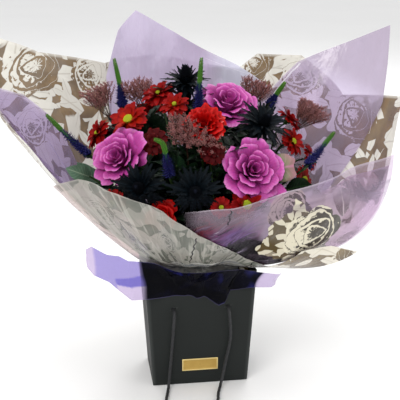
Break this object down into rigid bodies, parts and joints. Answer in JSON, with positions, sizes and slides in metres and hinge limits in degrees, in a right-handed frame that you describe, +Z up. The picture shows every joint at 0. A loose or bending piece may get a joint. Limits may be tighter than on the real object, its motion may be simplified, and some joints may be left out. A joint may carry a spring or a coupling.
{
  "type": "mixed flower bouquet",
  "caption": "Hand-tied mixed bouquet of ornamental kale, daisies, carnations and sea holly, wrapped in layered film and standing in a small black card gift bag.",
  "frame": {"origin": "middle of the gift bag's underside, on the surface it stands on", "axes": "+Z up, front of the bag towards -Y, +X to the right as seen from the front"},
  "size_m": [0.655, 0.3684, 0.541],
  "materials": {
    "card_black": "matt black gift-bag card",
    "card_grey": "grey board",
    "plate_gold": "satin gold, blank",
    "cord_black": "twisted black cord",
    "pouch_clear": "clear film bag of water",
    "tie_raffia": "wound raffia",
    "film_lilac": "clear lilac gift film, glossy",
    "film_print": "ivory film printed with brown and gold flowers",
    "kale_petal": "mauve pink leaf, velvety",
    "carnation_petal": "bright red petal",
    "daisy_petal": "deep red petal with a yellow or green eye",
    "sea_holly": "blue-black bracts and cones",
    "speedwell_floret": "deep blue florets",
    "sea_lavender": "papery mauve tufts on wiry twigs",
    "foliage": "green leaf and stalk"
  },
  "bodies": {
    "root": {"bag": "card_black", "bag_base_board": "card_grey", "carnation_back": "carnation_petal", "carnation_back_greens": "foliage", "carnation_front": "carnation_petal", "carnation_front_greens": "foliage", "carnation_top": "carnation_petal", "carnation_top_greens": "foliage", "daisies_back": "daisy_petal", "daisies_front": "daisy_petal", "daisies_left": "daisy_petal", "daisies_right": "daisy_petal", "daisies_top": "daisy_petal", "film_lilac_back": "film_lilac", "film_lilac_left": "film_lilac", "film_lilac_right_front": "film_lilac", "film_print_back": "film_print", "film_print_fold": "film_print", "film_print_left_front": "film_print", "film_print_right_front": "film_print", "film_sash": "film_lilac", "handle_cord": "cord_black", "kale_back": "kale_petal", "kale_back_greens": "foliage", "kale_left": "kale_petal", "kale_left_greens": "foliage", "kale_right": "kale_petal", "kale_right_greens": "foliage", "kale_top": "kale_petal", "kale_top_greens": "foliage", "label_plate": "plate_gold", "leaves_back": "foliage", "leaves_front": "foliage", "leaves_left": "foliage", "leaves_middle": "foliage", "leaves_right": "foliage", "sea_holly_back": "sea_holly", "sea_holly_front": "sea_holly", "sea_holly_left": "sea_holly", "sea_holly_right": "sea_holly", "sea_holly_top": "sea_holly", "sea_lavender_far": "sea_lavender", "sea_lavender_left": "sea_lavender", "sea_lavender_middle": "sea_lavender", "sea_lavender_right": "sea_lavender", "sea_lavender_top": "sea_lavender", "speedwell_back": "foliage", "speedwell_back_florets": "speedwell_floret", "speedwell_far_left": "foliage", "speedwell_far_left_florets": "speedwell_floret", "speedwell_left": "foliage", "speedwell_left_florets": "speedwell_floret", "speedwell_middle": "foliage", "speedwell_middle_florets": "speedwell_floret", "speedwell_right": "foliage", "speedwell_right_florets": "speedwell_floret", "speedwell_top": "foliage", "speedwell_top_florets": "speedwell_floret", "tie": "tie_raffia", "water_pouch": "pouch_clear"}
  },
  "joints": []
}
